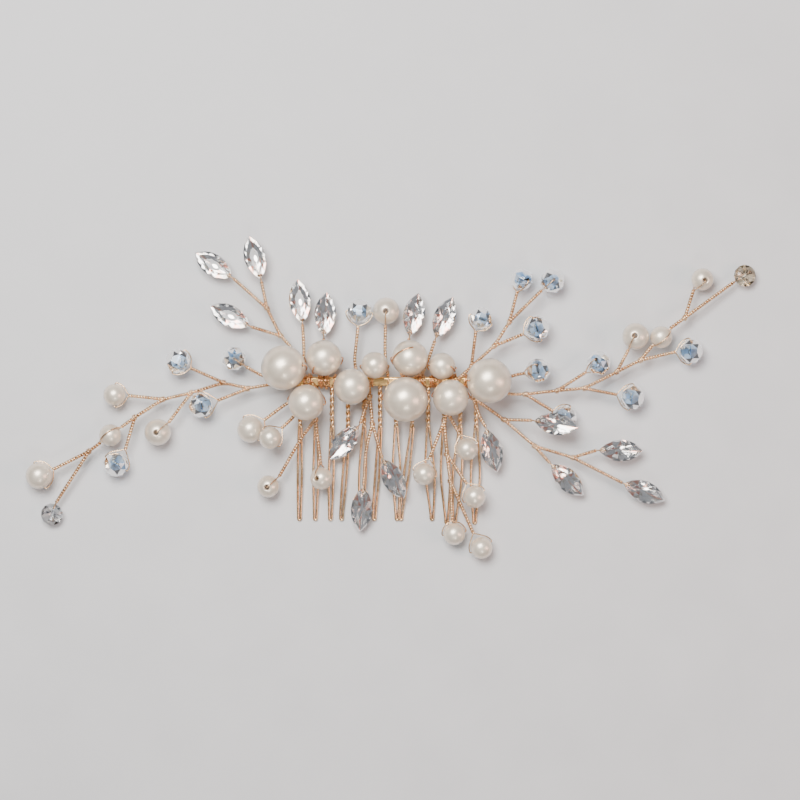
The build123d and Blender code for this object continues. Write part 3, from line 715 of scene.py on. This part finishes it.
def add_stone(mesh, outline, cut, hole, place):
    """A cut stone in its own plane: rows of the outline, a table, a back and a drilled hole.

    Facets behind the girdle are foil and painted reflection, and the rest are glass, slot 0.
    """
    origin, along, face = place
    across = np.cross(face, along)
    middle = outline.mean(axis=0)
    rows = []
    for height, size, turn in cut:
        ring = middle + (outline - middle) * size
        if turn:
            ring = (ring + np.roll(ring, -1, axis=0)) / 2
        rows.append((height, ring))
    angles = np.arctan2(outline[:, 1], outline[:, 0] - hole[0])
    spokes = np.stack((hole[0] + hole[1] * np.cos(angles), hole[1] * np.sin(angles)), axis=1)
    rows.append((cut[-1][0], spokes))
    rows.insert(0, (cut[0][0], spokes))
    verts = []
    for height, ring in rows:
        for x, y in ring:
            verts.append(origin + along * x + across * y + face * height)
    turns = [False] + [turn for _, _, turn in cut] + [False]
    girdle = [index for index, (height, _) in enumerate(rows) if height > 0][0]
    faces = []
    slots = []
    for row in range(len(rows)):
        step = turns[(row + 1) % len(rows)] - turns[row]
        band = facet_band(row, len(rows), len(outline), step)
        # behind the girdle a facet takes the silver foil, a tinted back or a painted reflection, as the back order
        # picks
        foil = row < girdle - 1
        faces += band
        slots += [back_slot_of(row, facet) if foil else 0 for facet in range(len(band))]
    mesh.add(verts, faces, slots)


def navette_outline():
    """Two arcs that meet in points, as a ring of corners from the wired tip."""
    half_length = NAVETTE_LENGTH / 2 - NAVETTE_TRIM
    half_width = NAVETTE_WIDTH / 2 - 0.03
    bow = (half_length ** 2 + half_width ** 2) / (2 * half_width)
    half = NAVETTE_SIDES // 2
    ring = []
    for k in range(half + 1):
        x = -half_length * math.cos(math.pi * k / half)
        ring.append((x + half_length, math.sqrt(bow ** 2 - x ** 2) - bow + half_width))
    ring += [(x, -y) for x, y in reversed(ring[1:-1])]
    ring = np.array(ring)
    ring[:, 0] += NAVETTE_TRIM
    return ring


def make_navettes(node):
    """One group of marquise stones, with the hole of each near its wired tip."""
    mesh = Mesh()
    hole = (NAVETTE_HOLE_INSET, NAVETTE_HOLE / 2 - 0.05)
    for number in range(len(NAVETTES[node])):
        add_stone(mesh, navette_outline(), NAVETTE_CUT, hole, stone_place(f"{node}:{number}"))
    mesh.build(node + "_stones", ROOT, [NAVETTE_GLASS, *NAVETTE_FOIL_AND_REFLECTIONS], [node],
               smooth=False)


def make_rhinestone(node, glass, backs):
    """A round stone, drilled near its wired edge."""
    radius = CHATON_DIAMETER / 2 - 0.02
    angles = np.linspace(0, 2 * math.pi, CHATON_SIDES, endpoint=False)
    outline = np.stack((CHATON_DIAMETER / 2 + radius * np.cos(angles), radius * np.sin(angles)), 1)
    hole = (CHATON_HOLE_INSET, NAVETTE_HOLE / 2 - 0.1)
    mesh = Mesh()
    add_stone(mesh, outline, CHATON_CUT, hole, stone_place(node))
    mesh.build(node + "_stone", ROOT, [glass, *backs], [node], smooth=False)


# ---- wires -----------------------------------------------------------------------------------
def end_loop(mesh, target):
    """Adds the loop that holds a piece and returns the neck that its stem ends in."""
    if is_stone(target):
        tip, inward, face = stone_place(target)
        inset = CHATON_HOLE_INSET if target in RHINESTONES else NAVETTE_HOLE_INSET
        centre = tip + inward * inset
        neck = tip - inward * LOOP_LEAD
        for side in (1, -1):
            leg = [neck, tip + face * side * 0.4 * LOOP_LIFT, centre + face * side * LOOP_LIFT,
                   centre + inward * 0.05 + face * side * 0.5 * LOOP_LIFT, centre]
            add_tube(mesh, resample(rounded(leg, LOOP_BEND), 0.1), WIRE / 2)
        return neck
    centre, hole, diameter = bead_place(target)
    neck = vec(NECKS[target])
    add_loop(mesh, centre, square_to(hole, unit(neck - centre)), neck, bead_reach(diameter))
    return neck


def stem_phase(points):
    """A turn of the twist that differs from stem to stem, from where the stem starts."""
    return float(points[0][0] * 1.7 + points[-1][1] * 0.9) % (2 * math.pi)


def inline_stems(mesh, target, start, after):
    """A twisted pair that meets a threaded pearl: one wire goes through, one over its front."""
    centre, hole, diameter = bead_place(target)
    if hole.dot(vec(after) - vec(start)) < 0:
        hole = -hole
    reach = bead_reach(diameter)
    over = square_to(UP + 0.3 * np.cross(hole, UP), hole)
    add_twist(mesh, (vec(start), centre - hole * (reach + INLINE_LEAD / 2)))
    add_twist(mesh, (centre + hole * (reach + INLINE_LEAD / 2), vec(after)), phase=1.0)
    lead = hole * (reach + INLINE_LEAD)
    add_tube(mesh, resample((centre - lead, centre + lead), 0.3), WIRE / 2, 8)
    arc = [centre - lead + over * 0.1]
    for angle in np.linspace(0.28, math.pi - 0.28, 24):
        arc.append(centre - hole * reach * math.cos(angle) + over * reach * math.sin(angle))
    arc.append(centre + lead + over * 0.1)
    add_tube(mesh, resample(rounded(arc, 0.4), WIRE_STEP), WIRE / 2, 8)


def add_knot(mesh, point, along):
    """The short wrap where a side stem joins: one and a half turns round the main pair."""
    along = unit(along)
    side = square_to(UP, along)
    other = np.cross(along, side)
    turn_end = 3.4 * math.pi
    turn = np.linspace(0, turn_end, 40)
    radius = 2 * STRAND + KNOT_CLEAR
    coil = point + along * ((turn - turn_end / 2) * 2 * STRAND / (2 * math.pi))[:, None]
    coil = coil + radius * (np.cos(turn)[:, None] * side + np.sin(turn)[:, None] * other)
    add_tube(mesh, coil, STRAND - 0.01)


def make_spray(node):
    """The stems of one spray, with the loops at their ends and a wrap wherever one joins."""
    mesh = Mesh()
    for target, *points in SPRAYS[node]:
        if target in INLINE_PEARLS:
            inline_stems(mesh, target, *points)
            continue
        route = [vec(point) for point in points]
        if target:
            route.append(end_loop(mesh, target))
        add_twist(mesh, rounded(route, STEM_BEND), stem_phase(route))
    forks = {points[0] for _, *points in SPRAYS[node]}
    for _, *points in SPRAYS[node]:
        for before, corner in zip(points, points[1:]):
            if corner in forks:
                add_knot(mesh, vec(corner), vec(corner) - vec(before))
    mesh.build("twisted_" + node, ROOT, [VINE], [node])


def bar_turn(x, lean, reach, start=0.0, turns=1.0):
    """Points of a wire that goes round the bar while it moves along it by lean."""
    half_y = BAR_WIDTH / 2 + reach
    half_z = BAR_THICK / 2 + reach
    points = []
    count = max(12, int(28 * turns))
    for step in range(count + 1):
        angle = 2 * math.pi * (start + turns * step / count)
        c, s = math.cos(angle), math.sin(angle)
        size = (abs(c) ** 4 + abs(s) ** 4) ** -0.25
        y = BAR_Y + half_y * c * min(1.0, size)
        z = BAR_Z + half_z * s * min(1.0, size)
        points.append((x + lean * (step / count - 0.5), y, z))
    return points


def add_crossings(mesh, middle, gap):
    """Slack turns that cross over the tight ones, slanting one way and then the other."""
    half = TOOTH_PITCH / 2 - 0.35
    for number in range(3):
        lean = (1.5 - 0.4 * number) * (1 if (gap + number) % 2 else -1)
        x = middle + (number - 1) * 0.45
        lean = math.copysign(min(abs(lean), 2 * (half - abs(x - middle))), lean)
        points = bar_turn(x, lean, WIRE / 2 + 0.42 + 0.1 * number, 0.3 * number + 0.05 * gap, 1.03)
        add_tube(mesh, resample(points, WRAP_STEP), WIRE / 2)


def add_stray(mesh, centre, diameter, start, end):
    """A strand that shows on the front of a pearl, lying against it from start to end."""
    first, last = unit(vec(start)), unit(vec(end))
    reach = diameter / 2 + WIRE / 2
    points = [vec(centre) + unit(first * (1 - t) + last * t) * reach
              for t in np.linspace(0, 1, 24)]
    points.insert(0, vec(centre) + first * (reach - WIRE))
    add_tube(mesh, resample(points, WIRE_STEP), WIRE / 2)


def tie_hole(centre, foot):
    """The direction of a base pearl's hole: along the bar, and square to the pearl's tie."""
    return square_to(vec((1, 0, 0)), unit(vec(foot) - vec(centre)))


def make_binding():
    """The wire wound round the bar between the teeth, and the ties through the base pearls."""
    mesh = Mesh()
    for gap, turns in enumerate(TURNS_IN_GAP):
        middle = FIRST_TOOTH_X + TOOTH_PITCH * (gap + 0.5)
        spread = min(0.36, 2.6 / max(1, turns - 1))
        for number in range(turns):
            x = middle + (number - (turns - 1) / 2) * spread
            reach = WIRE / 2 + WRAP_CLEAR + 0.12 * (number % 3)
            lean = 0.35 * math.sin(2.3 * number + gap)
            points = bar_turn(x, lean, reach, 0.1 * number, WRAP_TURNS)
            add_tube(mesh, resample(points, WRAP_STEP), WIRE / 2)
        if turns > 4:
            add_crossings(mesh, middle, gap)
    for x in END_TURNS_X:
        points = bar_turn(x, 0.15, WIRE / 2 + WRAP_CLEAR, 0.2, WRAP_TURNS)
        add_tube(mesh, resample(points, WRAP_STEP), WIRE / 2)
    for centre, diameter, foot in BASE_PEARLS.values():
        add_loop(mesh, vec(centre), tie_hole(centre, foot), vec(foot), bead_reach(diameter))
    for node, start, end in STRAYS:
        centre, diameter, _ = BASE_PEARLS[node]
        add_stray(mesh, centre, diameter, start, end)
    mesh.build("wound_binding_wire", ROOT, [BINDING], ["binding_wire"])


def make_teeth():
    """Twelve hairpins: two wires twisted under the bar, then open down to a rounded tip."""
    mesh = Mesh()
    slope = math.tan(math.radians(TOOTH_TILT))
    radius = TOOTH_WIRE / 2
    tip_half = 1.08 * radius
    down = unit(vec((0, -1, -slope)))
    face = unit(vec((0, -slope, 1)))
    right = vec((1, 0, 0))
    for number, (tip_x, mid_half, tip_y) in enumerate(zip(TIP_X, MID_HALF, TIP_Y)):
        root_x = FIRST_TOOTH_X + number * TOOTH_PITCH
        twist_length = (TWIST_TOP_Y - TWIST_END_Y) / down.dot(vec((0, -1, 0)))
        full_length = (TWIST_TOP_Y - tip_y) / down.dot(vec((0, -1, 0))) - radius
        middle = (twist_length + full_length) / 2
        mid_x = (root_x + tip_x) / 2
        top = vec((root_x, TWIST_TOP_Y, BAR_Z))
        steps = np.linspace(0.0, twist_length, 96)
        turns = round(twist_length / TOOTH_TWIST_PITCH * 2) / 2
        legs = []
        for side in (1, -1):
            leg = [top + vec((side * radius, SHANK_RISE, 0))]
            for s in steps:
                angle = 2 * math.pi * turns * s / twist_length
                offset = right * math.cos(angle) + face * math.sin(angle)
                leg.append(top + down * s + side * radius * offset)
            end_side = side * round(math.cos(2 * math.pi * turns))
            fork = [(root_x + end_side * radius * 1.1, twist_length + FORK_LAP),
                    (mid_x + end_side * mid_half, middle),
                    (tip_x + end_side * radius * 1.15, full_length - TOE_LENGTH),
                    (tip_x + end_side * tip_half, full_length - TIP_STRAIGHT)]
            pins = [leg[-1]] + [top + right * (x - root_x) + down * d for x, d in fork]
            leg += list(resample(rounded(pins, TOOTH_BEND), 0.35))[1:]
            legs.append((end_side, leg))
        legs.sort(key=lambda pair: pair[0])
        left, other = legs[0][1], legs[1][1]
        tip = top + right * (tip_x - root_x) + down * (full_length - TIP_STRAIGHT)
        bow = [tip + tip_half * (down * math.sin(a) - right * math.cos(a))
               for a in np.linspace(0, math.pi, 12)][1:-1]
        add_tube(mesh, np.array(left + bow + other[::-1]), radius, 10)
    mesh.build("hairpin_teeth", ROOT, [TEETH], ["comb_teeth"])


# ---- build everything ------------------------------------------------------------------------
for node, (centre, diameter, foot) in BASE_PEARLS.items():
    make_pearl(node, ROOT, vec(centre), tie_hole(centre, foot), diameter, PEARL)

for node, body in BODY_OF.items():
    centre, hole, diameter = bead_place(node)
    if node.startswith("pearl"):
        make_pearl(node, body, centre, hole, diameter, SMALL_PEARL)
    else:
        make_crystal(node, body, centre, hole, diameter)

for node in NAVETTES:
    make_navettes(node)
make_rhinestone("rhinestone_left", ROUND_GLASS, ROUND_FOIL_AND_REFLECTIONS)
make_rhinestone("rhinestone_right", WARM_GLASS, WARM_FOIL_AND_REFLECTIONS)
for node in SPRAYS:
    make_spray(node)
make_binding()
make_teeth()

bar = frame["nodes"]["comb_bar"]
for place in range(len(bar.material_slots)):
    bar.material_slots[place].material = STRIP


# ---- table, light and camera, in metres ------------------------------------------------------
TABLE_HALF = 1.5
TABLE_DROP = 0.00005
CAMERA_HEIGHT = 0.65
PLANE_HEIGHT = 0.004
FRAME_WIDTH = 0.1794
FRAME_MIDDLE = (0.0018, -0.0005)
SENSOR_WIDTH = 36.0


def make_floor():
    """A pale, slightly grained table top just under the comb."""
    nodes = Nodes("table_top")
    nodes.set(Specular_IOR_Level=0.3)
    grain = nodes.noise(60.0, 4.0)
    nodes.link(nodes.ramp(grain, (0.3, (0.66, 0.66, 0.67)), (0.7, (0.70, 0.70, 0.71))),
               nodes.shader.inputs["Base Color"])
    nodes.link(nodes.level(grain, 0.5, 0.62), nodes.shader.inputs["Roughness"])
    data = bpy.data.meshes.new("table_top")
    half, low = TABLE_HALF, -TABLE_DROP
    data.from_pydata([(-half, -half, low), (half, -half, low), (half, half, low),
                      (-half, half, low)], [], [(0, 1, 2, 3)])
    data.materials.append(nodes.material)
    floor = bpy.data.objects.new("table_top", data)
    bpy.context.scene.collection.objects.link(floor)


def area_light(name, place, size, power, colour):
    """A rectangular soft light aimed at the middle of the comb."""
    light = bpy.data.lights.new(name, "AREA")
    light.shape = "RECTANGLE"
    light.size, light.size_y = size
    light.energy = power
    light.color = colour
    lamp = bpy.data.objects.new(name, light)
    lamp.location = place
    aim = bpy.data.objects.new(name + "_aim", None)
    bpy.context.scene.collection.objects.link(lamp)
    bpy.context.scene.collection.objects.link(aim)
    track = lamp.constraints.new("TRACK_TO")
    track.target = aim
    track.track_axis = "TRACK_NEGATIVE_Z"
    track.up_axis = "UP_Y"


def make_sky():
    """A soft studio surround: pale overhead, darker towards the horizon."""
    world = bpy.data.worlds.new("studio")
    world.use_nodes = True
    tree = world.node_tree
    place = tree.nodes.new("ShaderNodeTexCoord")
    split = tree.nodes.new("ShaderNodeSeparateXYZ")
    ramp = tree.nodes.new("ShaderNodeValToRGB")
    stops = ((0.0, (0.16, 0.16, 0.17)), (0.5, (0.21, 0.215, 0.23)), (1.0, (0.32, 0.34, 0.37)))
    ramp.color_ramp.elements.new(0.5)
    for element, (position, colour) in zip(ramp.color_ramp.elements, stops):
        element.position = position
        element.color = (*colour, 1.0)
    tree.links.new(place.outputs["Generated"], split.inputs["Vector"])
    tree.links.new(split.outputs["Z"], ramp.inputs["Fac"])
    tree.links.new(ramp.outputs["Color"], tree.nodes["Background"].inputs["Color"])
    tree.nodes["Background"].inputs["Strength"].default_value = 1.0
    bpy.context.scene.world = world


make_floor()
make_sky()
area_light("window", (-0.11, 0.19, 0.46), (0.30, 0.24), 4.6, (1.0, 0.985, 0.96))
area_light("side_card", (0.42, -0.06, 0.30), (0.14, 0.26), 0.9, (1.0, 0.64, 0.52))
area_light("low_card", (0.06, -0.36, 0.40), (0.14, 0.10), 0.5, (1.0, 0.95, 0.90))

# the camera looks straight down, so that FRAME_WIDTH fills the picture at PLANE_HEIGHT
camera_data = bpy.data.cameras.new("camera")
camera_data.sensor_width = SENSOR_WIDTH
camera_data.lens = SENSOR_WIDTH * CAMERA_HEIGHT / FRAME_WIDTH
camera = bpy.data.objects.new("camera", camera_data)
camera.location = (*FRAME_MIDDLE, CAMERA_HEIGHT + PLANE_HEIGHT)
bpy.context.scene.collection.objects.link(camera)
bpy.context.scene.camera = camera
